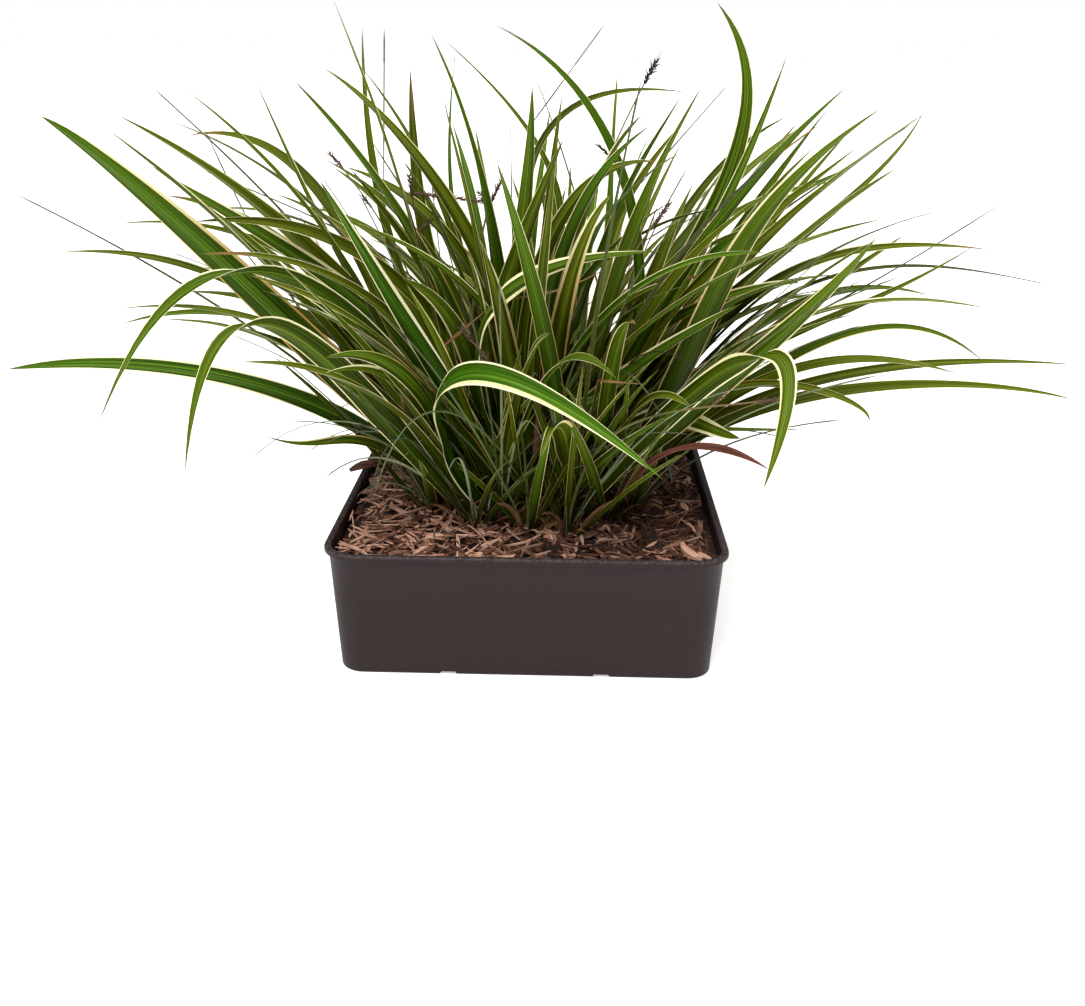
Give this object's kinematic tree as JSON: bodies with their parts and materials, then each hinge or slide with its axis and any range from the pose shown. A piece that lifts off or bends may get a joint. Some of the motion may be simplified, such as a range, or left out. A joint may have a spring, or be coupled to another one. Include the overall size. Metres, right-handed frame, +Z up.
{
  "type": "potted carex sedge",
  "caption": "Variegated sedge with arching cream-edged leaves and small flower spikes, in a low square nursery pot filled with soil and bark mulch.",
  "frame": {"origin": "centre of the pot's flat underside, on the surface it stands on", "axes": "+Z up, +X to the right and -Y to the front of the pot"},
  "size_m": [0.44, 0.3044, 0.24],
  "materials": {
    "pot_plastic": "matte dark brown-grey moulded plastic",
    "soil": "moist dark peat potting soil",
    "bark": "shredded bark, tan to dark brown",
    "leaf": "satin green leaf with cream edges",
    "flower": "dark brown scaly spikes on a green-brown stalk",
    "withered": "dry red-brown leaf"
  },
  "bodies": {
    "root": {"pot": "pot_plastic", "potting_soil": "soil", "bark_mulch": "bark", "leafy_stem_01": "leaf", "leafy_stem_02": "leaf", "leafy_stem_03": "leaf", "leafy_stem_04": "leaf", "leafy_stem_05": "leaf", "leafy_stem_06": "leaf", "leafy_stem_07": "leaf", "leafy_stem_08": "leaf", "leafy_stem_09": "leaf", "leafy_stem_10": "leaf", "leafy_stem_11": "leaf", "leafy_stem_12": "leaf", "leafy_stem_13": "leaf", "leafy_stem_14": "leaf", "leafy_stem_15": "leaf", "leafy_stem_16": "leaf", "leafy_stem_17": "leaf", "leafy_stem_18": "leaf", "leafy_stem_19": "leaf", "leafy_stem_20": "leaf", "leafy_stem_21": "leaf", "leafy_stem_22": "leaf", "leafy_stem_23": "leaf", "leafy_stem_24": "leaf", "leafy_stem_25": "leaf", "leafy_stem_26": "leaf", "leafy_stem_27": "leaf", "leafy_stem_28": "leaf", "leafy_stem_29": "leaf", "leafy_stem_30": "leaf", "leafy_stem_31": "leaf", "leafy_stem_32": "leaf", "flower_stalk_1": "flower", "flower_stalk_2": "flower", "flower_stalk_3": "flower", "flower_stalk_4": "flower", "flower_stalk_5": "flower", "flower_stalk_6": "flower", "withered_leaf_1": "withered", "withered_leaf_2": "withered", "withered_leaf_3": "withered"}
  },
  "joints": []
}
